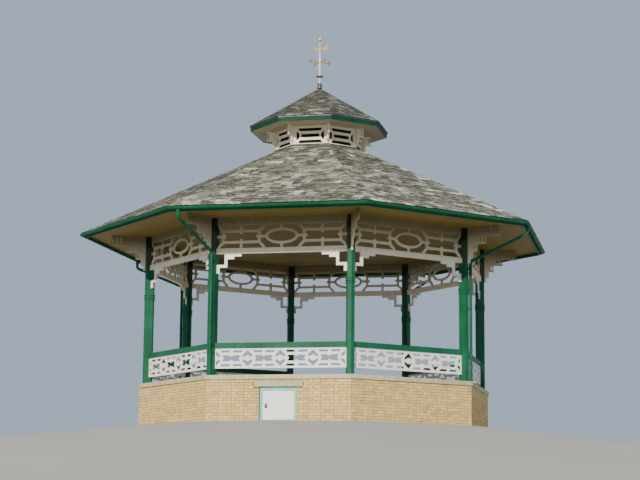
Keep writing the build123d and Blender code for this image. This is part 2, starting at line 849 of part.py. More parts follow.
# Compass: four rods in a boss round the pole, each with its letter
with BuildPart() as vane_compass:
    arms_plane = Plane(origin=(0, 0, apex_level + arms_level), x_dir=outward(arms_turn, 1), z_dir=(0, 0, 1))
    with BuildSketch(arms_plane.offset(-arm_boss_height / 2)):
        Circle(arm_boss_radius)
    extrude(amount=arm_boss_height)
    for quarter in range(4):
        bearing = arms_turn + 90 * quarter
        with BuildSketch(face_plane(bearing)):
            with Locations((0, apex_level + arms_level)):
                Circle(arm_radius)
        near = arm_half_length - letter_width
        extrude(amount=near + letter_stroke / 2)
        with BuildSketch(section_plane(bearing)):
            foot = apex_level + arms_level - letter_height / 2
            tall = foot + letter_height
            far = arm_half_length
            block(near, foot, near + letter_stroke, tall)
            if quarter == 0:
                block(near, foot, far, foot + letter_stroke)
                block(near, (foot + tall - letter_stroke) / 2, far, (foot + tall + letter_stroke) / 2)
                block(near, tall - letter_stroke, far, tall)
                block(near, foot, near + letter_stroke, (foot + tall) / 2, mode=Mode.SUBTRACT)
                block(far - letter_stroke, foot, far, (foot + tall) / 2)
            elif quarter == 1:
                block(near, foot, far, foot + letter_stroke)
                block(near, (foot + tall - letter_stroke) / 2, far, (foot + tall + letter_stroke) / 2)
                block(near, tall - letter_stroke, far, tall)
            elif quarter == 2:
                lath_bar((near + letter_stroke / 2, tall), (far - letter_stroke / 2, foot), letter_stroke)
                block(far - letter_stroke, foot, far, tall)
            else:
                middle = (near + far) / 2
                lath_bar((near + letter_stroke / 2, foot), (middle, (foot + tall) / 2), letter_stroke)
                lath_bar((far - letter_stroke / 2, foot), (middle, (foot + tall) / 2), letter_stroke)
                block(far - letter_stroke, foot, far, tall)
        extrude(amount=letter_thickness / 2, both=True)
    with BuildSketch(arms_plane.offset(-arm_boss_height / 2)):
        Circle(pole_radius)
    extrude(amount=arm_boss_height, mode=Mode.SUBTRACT)
save(vane_compass, "vane_compass")

# Arrow on a sleeve that runs on the spindle
with BuildPart() as vane_arrow:
    sleeve_foot = pole_top + sleeve_gap
    arrow_middle = apex_level + arrow_level
    sleeve_end = spindle_top - sleeve_gap
    with BuildSketch(Plane.XY.offset(sleeve_foot)):
        Circle(sleeve_radius)
    extrude(amount=sleeve_end - sleeve_foot)
    with BuildSketch(face_plane(arrow_turn)):
        with Locations((0, arrow_middle)):
            head_foot = arrow_tip_reach - arrow_head_length
            block(tail_notch - arrow_tail_reach, -arrow_bar / 2, head_foot, arrow_bar / 2)
            Polygon(
                (head_foot, -arrow_head_width / 2),
                (arrow_tip_reach, 0),
                (head_foot, arrow_head_width / 2),
                align=None,
            )
            Polygon(
                (-arrow_tail_reach, -tail_height / 2),
                (tail_length - arrow_tail_reach, -arrow_bar / 2),
                (tail_length - arrow_tail_reach, arrow_bar / 2),
                (-arrow_tail_reach, tail_height / 2),
                (tail_notch - arrow_tail_reach, 0),
                align=None,
            )
    extrude(amount=arrow_thickness / 2, both=True)
    with BuildSketch(Plane.XY.offset(sleeve_foot)):
        Circle(spindle_radius + spindle_clearance)
    extrude(amount=sleeve_end - sleeve_foot, mode=Mode.SUBTRACT)
save(vane_arrow, "vane_arrow")

# Finial: a turned bulb with a flame-shaped point
with BuildPart() as vane_finial:
    with BuildSketch(Plane.XZ):
        with BuildLine():
            Line((0, spindle_top), (finial_foot_radius, spindle_top))
            Spline(
                (finial_foot_radius, spindle_top),
                (finial_radius, spindle_top + finial_bulb_level),
                (finial_neck_radius, spindle_top + finial_neck_level),
                (0, vane_top),
            )
            Line((0, vane_top), (0, spindle_top))
        make_face()
    revolve(axis=Axis.Z)
save(vane_finial, "vane_finial")
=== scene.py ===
"""Looks of an octagonal bandstand: slates, bricks, boards, stone, paint and gilding."""
import math
import random

import bpy
import numpy as np
from mathutils import Matrix, Vector


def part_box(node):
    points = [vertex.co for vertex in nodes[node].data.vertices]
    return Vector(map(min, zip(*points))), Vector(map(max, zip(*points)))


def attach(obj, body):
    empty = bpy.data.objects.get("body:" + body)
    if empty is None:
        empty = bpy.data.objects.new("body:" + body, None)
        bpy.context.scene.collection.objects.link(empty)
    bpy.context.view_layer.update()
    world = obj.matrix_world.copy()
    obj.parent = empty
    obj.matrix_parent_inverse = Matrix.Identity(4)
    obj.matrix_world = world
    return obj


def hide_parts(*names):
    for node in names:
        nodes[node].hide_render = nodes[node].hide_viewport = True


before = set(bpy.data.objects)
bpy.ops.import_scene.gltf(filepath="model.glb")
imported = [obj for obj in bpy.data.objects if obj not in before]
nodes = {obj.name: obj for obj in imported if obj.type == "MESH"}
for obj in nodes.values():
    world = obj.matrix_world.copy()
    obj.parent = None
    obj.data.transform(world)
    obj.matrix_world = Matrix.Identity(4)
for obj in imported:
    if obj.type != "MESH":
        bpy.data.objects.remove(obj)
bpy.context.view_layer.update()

SIDES = 8
STEP = 2 * math.pi / SIDES  # the turn from one side of the octagon to the next
SLANT = math.tan(STEP / 2)  # half a side's length, for each metre that the side is from the axis
UP = Vector((0, 0, 1))
CLOSE = 0.001  # points nearer than this to the lowest or highest count with it
ROOT = "bandstand"


def corners(node):
    """The vertices of a CAD node, as an array."""
    return np.array([vertex.co for vertex in nodes[node].data.vertices], float).reshape(-1, 3)


def lowest(points, axis=2):
    """The points at the low end of an axis."""
    return points[points[:, axis] < points[:, axis].min() + CLOSE]


def highest(points, axis=2):
    """The points at the high end of an axis."""
    return points[points[:, axis] > points[:, axis].max() - CLOSE]


def outward(facet):
    """The level direction that a side of the octagon faces. Side 0 faces -Y."""
    return Vector((math.sin(facet * STEP), -math.cos(facet * STEP), 0))


def rightward(facet):
    """The level direction along a side, to the right for someone who faces it."""
    return Vector((math.cos(facet * STEP), math.sin(facet * STEP), 0))


def front_half(node):
    """How far a node reaches forward from the axis, measured square to the front side."""
    return -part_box(node)[0].y


def clip(outline, inside):
    """An outline cut to the side of a line where inside(point) is positive."""
    kept = []
    for index, point in enumerate(outline):
        after = outline[(index + 1) % len(outline)]
        here, there = inside(point), inside(after)
        if here >= 0:
            kept.append(point)
        if (here >= 0) != (there >= 0):
            share = here / (here - there)
            kept.append(tuple(a + (b - a) * share for a, b in zip(point, after)))
    return kept


class Solids:
    """Gathers many small solids into one mesh."""

    def __init__(self):
        self.vertices = []
        self.faces = []

    def loft(self, *levels):
        """A solid through outlines with the same number of points, from its foot to its top."""
        count = len(levels[0])
        start = len(self.vertices)
        last = start + count * (len(levels) - 1)
        for outline in levels:
            self.vertices.extend(outline)
        self.faces.append([start + index for index in reversed(range(count))])
        self.faces.append([last + index for index in range(count)])
        for index in range(count):
            after = (index + 1) % count
            for first in range(start, last, count):
                second = first + count
                self.faces.append([first + index, first + after, second + after, second + index])

    def block(self, origin, axes, low, high, arris=0.0):
        """A block in the frame of three axes, with the edges of its front (high third axis) eased."""
        def outline(depth, inset=0.0):
            left, right = low[0] + inset, high[0] - inset
            foot, top = low[1] + inset, high[1] - inset
            ring = ((left, foot), (right, foot), (right, top), (left, top))
            return [origin + axes[0] * a + axes[1] * b + axes[2] * depth for a, b in ring]
        if arris:
            self.loft(outline(low[2]), outline(high[2] - arris), outline(high[2], arris))
        else:
            self.loft(outline(low[2]), outline(high[2]))

    def tube(self, start, end, radius, sides=10):
        """A round bar between two points."""
        along = (end - start).normalized()
        side = along.orthogonal().normalized()
        other = along.cross(side)
        turns = [2 * math.pi * turn / sides for turn in range(sides)]
        ring = [side * (radius * math.cos(turn)) + other * (radius * math.sin(turn)) for turn in turns]
        self.loft([start + spoke for spoke in ring], [end + spoke for spoke in ring])

    def piece(self, name, material, body=ROOT):
        """All the solids as one mesh piece that rides on a body."""
        mesh = bpy.data.meshes.new(name)
        mesh.from_pydata([tuple(vertex) for vertex in self.vertices], [], self.faces)
        mesh.validate()
        mesh.materials.append(material)
        piece = bpy.data.objects.new(name, mesh)
        bpy.context.scene.collection.objects.link(piece)
        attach(piece, body)
        return piece


class Shader:
    """A short way to build a node material."""

    MIX_SHARE, MIX_FIRST, MIX_SECOND, MIX_RESULT = 0, 6, 7, 2  # the colour sockets of a Mix node

    def __init__(self, name, rough, specular=0.5, metallic=0.0):
        self.material = bpy.data.materials.new(name)
        self.material.use_nodes = True
        self.tree = self.material.node_tree
        self.bsdf = self.tree.nodes["Principled BSDF"]
        self.bsdf.inputs["Roughness"].default_value = rough
        self.bsdf.inputs["Metallic"].default_value = metallic
        self.bsdf.inputs["Specular IOR Level"].default_value = specular
        self.coordinates = self.add("ShaderNodeTexCoord").outputs["Object"]

    def add(self, kind, **settings):
        """A new node with its settings."""
        node = self.tree.nodes.new(kind)
        for key, value in settings.items():
            setattr(node, key, value)
        return node

    def join(self, output, socket):
        self.tree.links.new(output, socket)

    def scaled(self, scale):
        """Object coordinates stretched by a factor for each axis."""
        mapping = self.add("ShaderNodeMapping")
        mapping.inputs["Scale"].default_value = scale
        self.join(self.coordinates, mapping.inputs["Vector"])
        return mapping.outputs["Vector"]

    def noise(self, scale, detail=3.0, rough=0.55, stretch=(1, 1, 1)):
        """Cloudy noise round 0.5, finer with a larger scale."""
        node = self.add("ShaderNodeTexNoise")
        node.inputs["Scale"].default_value = scale
        node.inputs["Detail"].default_value = detail
        node.inputs["Roughness"].default_value = rough
        self.join(self.scaled(stretch), node.inputs["Vector"])
        return node.outputs["Fac"]

    def ramp(self, value, stops):
        """A colour ramp with (position, colour) stops."""
        node = self.add("ShaderNodeValToRGB")
        elements = node.color_ramp.elements
        while len(elements) < len(stops):
            elements.new(0.5)
        for element, (position, colour) in zip(elements, stops):
            element.position = position
            element.color = (*colour, 1)
        self.join(value, node.inputs["Fac"])
        return node.outputs["Color"]

    def grey(self, value, low, high, start=0.3, end=0.7):
        """A number that goes from low to high as a value goes from start to end."""
        node = self.add("ShaderNodeMapRange")
        node.inputs["From Min"].default_value = start
        node.inputs["From Max"].default_value = end
        node.inputs["To Min"].default_value = low
        node.inputs["To Max"].default_value = high
        self.join(value, node.inputs["Value"])
        return node.outputs["Result"]

    def mix(self, first, second, share):
        """The first colour mixed with a share of the second, which is given as numbers."""
        node = self.add("ShaderNodeMix", data_type="RGBA", blend_type="MIX")
        self.join(share, node.inputs[self.MIX_SHARE])
        self.join(first, node.inputs[self.MIX_FIRST])
        node.inputs[self.MIX_SECOND].default_value = (*second, 1)
        return node.outputs[self.MIX_RESULT]

    def patches(self, base, colour, noise, most, start, end):
        """A base with a share of a colour over it, from none where a noise is at start to most at end."""
        return self.mix(base, colour, self.grey(noise, 0.0, most, start, end))

    def island(self):
        """A number from 0 to 1 that differs from one loose part of the mesh to the next."""
        return self.add("ShaderNodeNewGeometry").outputs["Random Per Island"]

    def island_tones(self, tones):
        """A colour for each loose part of the mesh, from an even ramp of tones."""
        last = len(tones) - 1
        return self.ramp(self.island(), [(index / last, tone) for index, tone in enumerate(tones)])

    def height(self, low, high, most):
        """A number that grows from 0 to most between two levels."""
        split = self.add("ShaderNodeSeparateXYZ")
        self.join(self.coordinates, split.inputs["Vector"])
        return self.grey(split.outputs["Z"], 0, most, low, high)

    def colour(self, output):
        self.join(output, self.bsdf.inputs["Base Color"])

    def roughness(self, output):
        self.join(output, self.bsdf.inputs["Roughness"])

    def bump(self, output, strength, distance):
        """Relief from a height, at most as high as distance in metres."""
        node = self.add("ShaderNodeBump")
        node.inputs["Strength"].default_value = strength
        node.inputs["Distance"].default_value = distance
        self.join(output, node.inputs["Height"])
        self.join(node.outputs["Normal"], self.bsdf.inputs["Normal"])


FINE_RELIEF = 0.002
PORE_RELIEF = 0.003
SLATE_RELIEF = 0.004


def paint(name, main, faded, dirty, rough, stretch=(1, 1, 1), specular=0.4, grime=0.5, shade_and_dust=()):
    """Brushed paint on timber or iron: slow fading, streaks of grime and a fine grain.

    The shading layers list colours of painted shade, and a dusty grey for the posts, each with the levels
    between which it thickens.
    """
    shader = Shader(name, rough, specular)
    fade = shader.ramp(shader.noise(1.7, detail=4), [(0.36, main), (0.68, faded)])
    # Each layer darkens the paint upwards between its two levels, as painted shade under the eaves and as a
    # dusty grey with painted shade on the posts
    for layer_colour, start_level, full_level in shade_and_dust:
        fade = shader.mix(fade, layer_colour, shader.height(start_level, full_level, most=0.92))
    streaks = shader.noise(9, detail=5, rough=0.6, stretch=(1, 1, 0.16))
    shader.colour(shader.patches(fade, dirty, streaks, grime, start=0.5, end=0.8))
    grain = shader.noise(34, detail=4, rough=0.6, stretch=stretch)
    shader.roughness(shader.grey(grain, rough - 0.08, rough + 0.14))
    shader.bump(grain, 0.25, FINE_RELIEF)
    return shader.material


def masonry(name, tones, rough, spot_scale, lichen=None):
    """Stone or brick with a tone for each loose part, pores and lichen."""
    shader = Shader(name, rough, specular=0.25)
    face = shader.island_tones(tones)
    spots = shader.noise(spot_scale, detail=6, rough=0.65)
    face = shader.patches(face, (0.05, 0.045, 0.04), spots, 0.45, start=0.48, end=0.75)
    if lichen:
        growth = shader.noise(2.3, detail=6, rough=0.7)
        face = shader.patches(face, lichen, growth, 0.7, start=0.56, end=0.66)
    shader.colour(face)
    shader.bump(shader.noise(spot_scale * 4, detail=5, rough=0.6), 0.5, PORE_RELIEF)
    return shader.material


def mottled(name, rough, specular, spots, stops, grain=None):
    """A dull surface with spots of (scale, detail) between two colours.

    Grain is the (scale, detail, strength) of its relief.
    """
    shader = Shader(name, rough, specular)
    shader.colour(shader.ramp(shader.noise(*spots), stops))
    if grain:
        scale, detail, strength = grain
        shader.bump(shader.noise(scale, detail), strength, FINE_RELIEF)
    return shader.material


def riven_slate(name, light):
    """Riven slate: a tone for each slate, weather stains, lichen, pitting with painted shadow streaks, and
    pale flakes. Light scales the tones, to paint lit or shaded copies of the slate.
    """
    shader = Shader(name, 0.62, specular=0.3)
    tones = [
        (0.0, (0.042, 0.038, 0.028)),
        (0.22, (0.075, 0.07, 0.052)),
        (0.45, (0.15, 0.143, 0.109)),
        (0.66, (0.25, 0.244, 0.191)),
        (0.86, (0.43, 0.424, 0.338)),
        (1.0, (0.8, 0.79, 0.66)),
    ]
    # Each layer's colour, its thickest share, the noise levels between which it thickens, and the noise
    stains = ((0.078, 0.07, 0.047), 0.66, (0.47, 0.66), (1.2, 4, 0.6, (1, 1, 2.5)))
    bleaching = ((0.43, 0.41, 0.31), 0.5 * light, (0.52, 0.62), (2.2, 6, 0.7, (1, 1, 4)))
    lichen = ((0.5, 0.495, 0.38), 0.6 * light, (0.55, 0.68), (16, 6, 0.75))
    # Dark pits, and streaks of painted shadow along the courses
    pits_and_shadows = ((0.055, 0.049, 0.036), 0.85, (0.47, 0.58), (5, 3, 0.65, (1, 1, 7)))
    flakes = ((0.62, 0.61, 0.48), 0.5 * light, (0.55, 0.65), (6, 3, 0.65, (1, 1, 6.5)))
    lit = [(position, tuple(channel * light for channel in tone)) for position, tone in tones]
    face = shader.ramp(shader.island(), lit)
    for colour, most, (start, end), noise in (stains, bleaching, lichen, pits_and_shadows, flakes):
        face = shader.patches(face, colour, shader.noise(*noise), most, start, end)
    shader.colour(face)
    shader.roughness(shader.grey(shader.noise(30, detail=4), 0.5, 0.78))
    shader.bump(shader.noise(26, detail=6, rough=0.65), 0.6, SLATE_RELIEF)
    return shader.material


def boarding(name, tones, dark, rough=0.6, stretch=(1, 1, 1)):
    """Boards with a tone for each, and a dark grain."""
    shader = Shader(name, rough, specular=0.3)
    grain = shader.noise(30, detail=5, rough=0.6, stretch=stretch)
    shader.colour(shader.patches(shader.island_tones(tones), dark, grain, 0.55, start=0.5, end=0.78))
    shader.bump(grain, 0.4, FINE_RELIEF)
    return shader.material


def metal(name, light, dark, rough, scale):
    """Bare metal with darker, duller spots."""
    shader = Shader(name, rough, metallic=1.0)
    spots = shader.noise(scale, detail=5, rough=0.6)
    shader.colour(shader.ramp(spots, [(0.35, light), (0.75, dark)]))
    shader.roughness(shader.grey(spots, rough - 0.08, rough + 0.18))
    shader.bump(shader.noise(scale * 5, detail=3), 0.2, 0.001)
    return shader.material


GREEN = (0.006, 0.095, 0.043)
GREEN_FADED = (0.013, 0.13, 0.067)
GREEN_DIRTY = (0.004, 0.04, 0.022)
CREAM = (0.87, 0.76, 0.56)
CREAM_FADED = (0.93, 0.84, 0.67)
CREAM_DIRTY = (0.34, 0.26, 0.15)
WHITE = (0.86, 0.84, 0.78)
WHITE_FADED = (0.9, 0.88, 0.83)
WHITE_DIRTY = (0.6, 0.54, 0.43)
# The colour of painted shade under the eaves
EAVES_SHADE = (0.125, 0.095, 0.026)
# Dust and painted shade on the posts above the beam, then painted shade near black under the ceiling
POST_DUST_AND_SHADE = (0.05, 0.07, 0.045)
POST_TOP_SHADE = (0.009, 0.008, 0.002)
BEAM_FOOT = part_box("tie_beams")[0].z
CEILING_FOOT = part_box("ceiling")[0].z

# Painted shade under the eaves: the friezes, eave brackets and beam bolts darken towards the ceiling
eaves_shade = [(EAVES_SHADE, BEAM_FOOT + 0.08, CEILING_FOOT - 0.12)]
# On the posts, dust and painted shade turn the green a dull grey-green above the beam, and painted shade
# darkens them to near black under the ceiling
post_dust_and_shade = [
    (POST_DUST_AND_SHADE, BEAM_FOOT, BEAM_FOOT + 0.06),
    (POST_TOP_SHADE, CEILING_FOOT - 0.45, CEILING_FOOT - 0.26),
]
green_timber = dict(rough=0.42, stretch=(1, 1, 0.1), specular=0.2, grime=0.35)
cream_timber = dict(rough=0.5, specular=0.3, grime=0.35)

green_paint = paint("green_paint", GREEN, GREEN_FADED, GREEN_DIRTY, **green_timber)
post_paint = paint("post_paint", GREEN, GREEN_FADED, GREEN_DIRTY, shade_and_dust=post_dust_and_shade, **green_timber)
green_iron = paint(
    "green_iron", GREEN, GREEN_FADED, (0.02, 0.05, 0.032), rough=0.45, specular=0.1, grime=0.4
)
# The green paint darker on the lantern's curb and fascia: painted shade
shaded_lantern_green = paint(
    "shaded_lantern_green", GREEN_DIRTY, (0.003, 0.075, 0.036), (0.01, 0.03, 0.02), rough=0.45, specular=0.1
)
eaves_paint = paint("eaves_paint", CREAM, CREAM_FADED, CREAM_DIRTY, shade_and_dust=eaves_shade, **cream_timber)
lantern_paint = paint("lantern_paint", CREAM, CREAM_FADED, CREAM_DIRTY, **cream_timber)
white_paint = paint("white_paint", WHITE, WHITE_FADED, WHITE_DIRTY, rough=0.42, grime=0.3)
pole_paint = paint(
    "pole_paint",
    main=(0.74, 0.66, 0.44),
    faded=(0.82, 0.76, 0.58),
    dirty=(0.4, 0.31, 0.16),
    rough=0.45,
    stretch=(1, 1, 0.2),
)
blue_paint = paint(
    "blue_paint",
    main=(0.19, 0.55, 0.52),
    faded=(0.3, 0.63, 0.6),
    dirty=(0.15, 0.34, 0.32),
    rough=0.4,
    stretch=(1, 1, 0.15),
)
door_paint = paint(
    "door_paint",
    main=(0.93, 0.93, 0.89),
    faded=(0.96, 0.95, 0.92),
    dirty=WHITE_DIRTY,
    rough=0.4,
    stretch=(1, 1, 0.12),
    grime=0.25,
)
iron = paint(
    "hinge_iron",
    main=(0.03, 0.035, 0.035),
    faded=(0.05, 0.055, 0.05),
    dirty=(0.12, 0.06, 0.03),
    rough=0.5,
)

brick_tones = [
    (0.62, 0.4, 0.15),
    (0.72, 0.5, 0.2),
    (0.78, 0.58, 0.26),
    (0.66, 0.45, 0.17),
    (0.82, 0.65, 0.31),
]
stone_tones = [(0.5, 0.42, 0.25), (0.58, 0.49, 0.3), (0.64, 0.55, 0.35)]
deck_tones = [(0.2, 0.16, 0.12), (0.26, 0.215, 0.165), (0.3, 0.25, 0.19), (0.23, 0.19, 0.15)]
# Cream boards painted a dark brown: painted shade under the eaves and on the ceiling
shaded_ceiling_tones = [(0.21, 0.148, 0.034), (0.235, 0.17, 0.04), (0.26, 0.19, 0.047)]
# Cream boards darkened: painted shade under the lantern's eaves
shaded_lantern_tones = [(0.4, 0.34, 0.24), (0.45, 0.385, 0.28), (0.5, 0.43, 0.32)]

brick = masonry("brick", brick_tones, rough=0.85, spot_scale=14)
stone = masonry("stone", stone_tones, rough=0.82, spot_scale=9, lichen=(0.36, 0.34, 0.24))
mortar = mottled(
    "mortar",
    rough=0.92,
    specular=0.15,
    spots=(22, 5),
    stops=[(0.35, (0.2, 0.145, 0.07)), (0.7, (0.3, 0.225, 0.115))],
    grain=(120, 4, 0.5),
)
slate = riven_slate("slate", light=1.0)
# The first course at the eave, lightened: painted sunlight
sunlit_eave_slate = riven_slate("sunlit_eave_slate", light=1.25)
# The lantern's slates at half the tones: painted shade
shaded_lantern_slate = riven_slate("shaded_lantern_slate", light=0.5)
# The dark line of slate edges under the lowest course and along the hips
slate_edges = mottled(
    "slate_edges",
    rough=0.8,
    specular=0.2,
    spots=(40, 4),
    stops=[(0.3, (0.05, 0.046, 0.038)), (0.75, (0.12, 0.11, 0.09))],
    grain=(80, 3, 0.4),
)
deck_boards = boarding("deck_boards", deck_tones, dark=(0.08, 0.06, 0.045), rough=0.7, stretch=(0.12, 1, 1))
# The boards under the eaves and on the ceiling, dark with painted shade
ceiling_boards = boarding("ceiling_boards", shaded_ceiling_tones, dark=(0.13, 0.09, 0.026))
lantern_boards = boarding("lantern_boards", shaded_lantern_tones, dark=(0.28, 0.23, 0.15))
# Near black: painted shade for the inside of the lantern, seen through its slots
shade_sheet = mottled(
    "shade_sheet",
    rough=0.8,
    specular=0.1,
    spots=(60, 2),
    stops=[(0.3, (0.006, 0.007, 0.006)), (0.8, (0.02, 0.02, 0.018))],
)
pale_floor = mottled(
    "floor",
    rough=0.9,
    specular=0.1,
    spots=(0.4, 3),
    stops=[(0.3, (0.4, 0.39, 0.36)), (0.7, (0.43, 0.42, 0.39))],
)
lead = metal("lead", light=(0.17, 0.175, 0.19), dark=(0.09, 0.093, 0.1), rough=0.6, scale=12)
gilding = metal("gilding", light=(0.95, 0.62, 0.16), dark=(0.7, 0.4, 0.08), rough=0.26, scale=18)


def dress(material, *names):
    """Gives CAD nodes a material."""
    for name in names:
        nodes[name].data.materials.clear()
        nodes[name].data.materials.append(material)


def ease(width, *names):
    """Softens the arrises of CAD nodes."""
    weld_reach, least_angle = 0.0001, math.radians(35)
    for name in names:
        weld = nodes[name].modifiers.new("weld", "WELD")
        weld.merge_threshold = weld_reach
        bevel = nodes[name].modifiers.new("arris", "BEVEL")
        bevel.width = width
        bevel.segments = 2
        bevel.limit_method = "ANGLE"
        bevel.angle_limit = least_angle


posts = [f"post_{number}" for number in range(1, SIDES + 1)]
friezes = [f"frieze_{number}" for number in range(1, SIDES + 1)]
panels = [f"rail_panel_{number}" for number in range(1, SIDES)]
dress(post_paint, *posts)
dress(green_paint, "handrails", "fascia")
dress(shaded_lantern_green, "lantern_curb", "lantern_fascia")
dress(green_iron, "gutters", "downpipes", "rainwater_offsets")
dress(eaves_paint, *friezes, "tie_beams", "eave_brackets")
dress(lantern_paint, "lantern_walls", "lantern_brackets")
dress(white_paint, *panels, "beam_brackets")
dress(mortar, "plinth_walls", "front_wall_left", "front_wall_right")
dress(stone, "front_lintel", "plinth_coping", "entrance_steps")
dress(blue_paint, "hatch_frame")
dress(door_paint, "hatch_door")
dress(deck_boards, "deck")
dress(ceiling_boards, "ceiling")
dress(lantern_boards, "lantern_soffit")
dress(slate_edges, "roof_slopes")
dress(lead, "lantern_roof", "vane_cap")
dress(gilding, "vane_compass", "vane_arrow", "vane_finial")
dress(pole_paint, "vane_pole")

# The vane's pole is painted. Its faces further out than the shaft are its lead collars
POLE_REACH = 0.031
nodes["vane_pole"].data.materials.append(lead)
for polygon in nodes["vane_pole"].data.polygons:
    if math.hypot(polygon.center.x, polygon.center.y) > POLE_REACH:
        polygon.material_index = 1

ease(0.004, *posts, "handrails", "tie_beams", "beam_brackets", "eave_brackets", "entrance_steps")
ease(0.002, *panels, *friezes, "lantern_walls", "lantern_brackets")

SLATE_THICK = 0.007
SLATE_GAP = 0.004  # between neighbours
HIP_GAP = 0.0015
UNDERSIDE_GAP = 0.0005
SLATE_LAP = 0.03  # how far a slate runs on under the next course
TAIL_LIFT = 0.0105  # how far a slate's tail stands off the slope, and how much more at most
LIFT_SPREAD = 0.003
DROP_SPREAD = 0.005  # how far a tail is above or below its course's line
SKEW_SPREAD = 0.002  # how far a tail is out of square


def slate_roof(name, node, gauge, widths, foot_overhang, seed, material, first_course=None):
    """Courses of slates on the eight slopes of a roof, cut close at the hips.

    The first course is a piece of its own where it is given its own material.
    """
    draw = random.Random(seed)
    points = corners(node)
    reach = points[:, 0].max()
    foot_z = highest(points, 0)[:, 2].max()
    rise = points[:, 2].max() - foot_z
    run = reach - highest(points)[:, 0].max()
    slope = math.atan2(rise, run)
    length = math.hypot(rise, run)
    courses = round(length / gauge)
    gauge = length / courses

    def half_width(distance):
        """Half the width of a slope at a distance up it."""
        return (reach - distance * math.cos(slope)) * SLANT

    upper_courses = Solids()
    lowest_course = Solids() if first_course else upper_courses
    for facet in range(SIDES):
        out, right = outward(facet), rightward(facet)
        up = UP * math.sin(slope) - out * math.cos(slope)
        normal = UP * math.cos(slope) + out * math.sin(slope)
        foot = out * reach + UP * foot_z
        for course in range(courses):
            tail = course * gauge - (0 if course else foot_overhang)
            head = min((course + 1) * gauge + SLATE_LAP, length)
            half = half_width(tail)
            across = -half - draw.uniform(0, widths[1])
            while across < half:
                width = draw.uniform(*widths)
                drop = draw.uniform(-DROP_SPREAD, DROP_SPREAD) if course else 0
                skew = draw.uniform(-SKEW_SPREAD, SKEW_SPREAD)
                near, far = across + SLATE_GAP / 2, across + width - SLATE_GAP / 2
                across += width
                outline = [(near, tail + drop), (far, tail + drop + skew), (far, head), (near, head)]
                outline = clip(outline, lambda point: half_width(point[1]) - HIP_GAP - point[0])
                outline = clip(outline, lambda point: half_width(point[1]) - HIP_GAP + point[0])
                if len(outline) < 3:
                    continue
                lift = TAIL_LIFT + draw.uniform(0, LIFT_SPREAD)
                lower, upper = [], []
                for u, s in outline:
                    seat = lift * max(0.0, 1 - (s - tail) / gauge)
                    point = foot + right * u + up * s
                    lower.append(point + normal * (seat + UNDERSIDE_GAP))
                    upper.append(point + normal * (seat + SLATE_THICK))
                (upper_courses if course else lowest_course).loft(lower, upper)
    if first_course:
        lowest_course.piece(name + "_eave", first_course)
    upper_courses.piece(name, material)


slate_roof(
    "main_slates",
    "roof_slopes",
    gauge=0.2,
    widths=(0.16, 0.4),
    foot_overhang=0.03,
    seed=11,
    material=slate,
    first_course=sunlit_eave_slate,
)
slate_roof(
    "lantern_slates",
    "lantern_roof",
    gauge=0.15,
    widths=(0.12, 0.3),
    foot_overhang=0.012,
    seed=12,
    material=shaded_lantern_slate,
)


def brick_faces():
    """Flemish bond on every side of the plinth, a few millimetres proud of the mortar."""
    course, joint, header, stretcher = 0.075, 0.01, 0.1025, 0.215
    proud, uneven, arris = 0.0045, 0.0012, 0.002
    corner_gap, least_width = 0.001, 0.02
    draw = random.Random(3)
    face = front_half("front_wall_left")
    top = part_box("front_wall_left")[1].z
    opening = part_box("hatch_frame")
    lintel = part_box("front_lintel")
    courses = round(top / course)
    course = top / courses
    half = face * SLANT
    solids = Solids()
    for facet in range(SIDES):
        axes = (rightward(facet), UP, outward(facet))
        origin = outward(facet) * face
        for row in range(courses):
            low, high = row * course + joint / 2, (row + 1) * course - joint / 2
            across = -half
            turn = row % 2
            while across < half - joint:
                width = header if turn else stretcher
                turn = 1 - turn
                left, right = across + joint / 2, min(across + width + joint / 2, half - corner_gap)
                across += width + joint
                spans = [(left, right)]
                if facet == 0:
                    bar = opening if high < lintel[0].z + joint else lintel
                    spans = [(left, min(right, bar[0].x - joint)), (max(left, bar[1].x + joint), right)]
                for near, far in spans:
                    if far - near >= least_width:
                        depth = proud + draw.uniform(-uneven, uneven)
                        solids.block(origin, axes, (near, low, 0.0), (far, high, depth), arris)
    return solids.piece("brickwork", brick)


brick_faces()


def coping_stones():
    """Three eased stones on each side of the plinth, with a mitred joint at each corner."""
    low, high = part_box("plinth_coping")
    outer = -low.y
    vertices = corners("plinth_coping")
    inner = np.hypot(vertices[:, 0], vertices[:, 1]).min() * math.cos(STEP / 2)
    stones, joint, inner_joints = 3, 0.006, 0.98
    arris = 0.012
    bend = arris * 0.3
    # Outer and inner reach, level, and how far the ends draw in, from the foot of a stone to its top
    profile = (
        (outer - arris, inner, low.z, arris / 2),
        (outer, inner, low.z + arris, 0),
        (outer, inner, high.z - arris, 0),
        (outer - bend, inner, high.z - bend, 0.002),
        (outer - arris, inner + 0.001, high.z, 0.003),
    )

    def end(number, reach):
        """Where a joint crosses a side: mitred at the corners, square to the side between them."""
        share = number / stones * 2 - 1
        if number in (0, stones):
            return reach * SLANT * share
        return outer * SLANT * share * inner_joints

    def outline(facet, number, reach_out, reach_in, level, inset):
        """The outline of a stone at a level."""
        out, right = outward(facet), rightward(facet)
        ring = ((reach_out, 0), (reach_out, 1), (reach_in, 1), (reach_in, 0))
        points = []
        for reach, side in ring:
            trim = (joint / 2 + inset) * (-1 if side else 1)
            points.append(out * reach + right * (end(number + side, reach) + trim) + UP * level)
        return points

    solids = Solids()
    for facet in range(SIDES):
        for number in range(stones):
            solids.loft(*(outline(facet, number, *row) for row in profile))
    piece = solids.piece("coping_stones", stone)
    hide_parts("plinth_coping")
    return piece


coping_stones()


